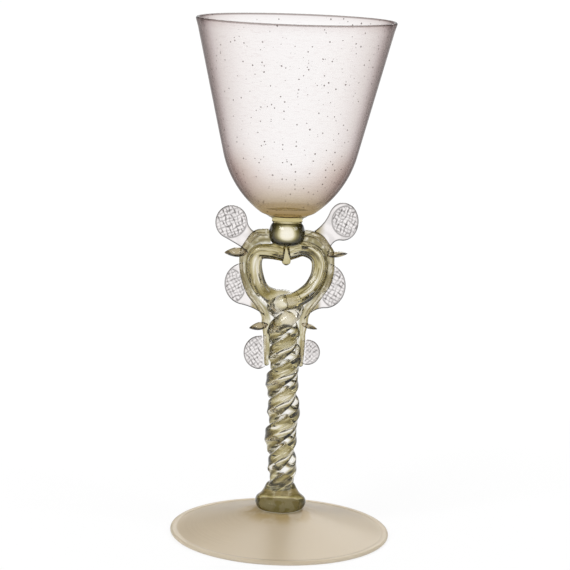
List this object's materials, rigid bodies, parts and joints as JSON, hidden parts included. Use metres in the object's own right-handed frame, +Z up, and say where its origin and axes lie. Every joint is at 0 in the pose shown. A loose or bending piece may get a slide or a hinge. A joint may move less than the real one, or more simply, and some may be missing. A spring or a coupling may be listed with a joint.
{
  "type": "winged goblet",
  "caption": "Tall-stemmed glass goblet: conical foot, twisted stem parting into a heart, pincered side wings and a deep flared bowl.",
  "frame": {"origin": "centre of the foot's resting ring, on the surface it stands on", "axes": "+Z up the goblet to the rim, +X to the right of the picture side, the picture side faces -Y"},
  "size_m": [0.072, 0.072, 0.1689],
  "materials": {
    "glass_foot": "clear, warm beige tint where it is thick, fire-polished",
    "glass_stem": "clear olive-green tint in the thick glass, fire-polished",
    "glass_bowl": "thin, clear, faint pinkish-grey tint, tiny seeds, fire-polished rim",
    "glass_wing": "clear, faint pinkish tint, tooled with a waffled pincer"
  },
  "bodies": {
    "root": {"foot": "glass_foot", "base_knop": "glass_stem", "left_strand": "glass_stem", "right_strand": "glass_stem", "cusp_drop": "glass_stem", "top_knop": "glass_stem", "bowl_collar": "glass_stem", "bowl": "glass_bowl", "left_wing_trail": "glass_wing", "right_wing_trail": "glass_wing", "left_top_disc": "glass_wing", "left_middle_disc": "glass_wing", "left_low_disc": "glass_wing", "right_top_disc": "glass_wing", "right_middle_disc": "glass_wing", "right_low_disc": "glass_wing", "left_upper_tag": "glass_wing", "left_lower_tag": "glass_wing", "right_upper_tag": "glass_wing", "right_lower_tag": "glass_wing"}
  },
  "joints": []
}
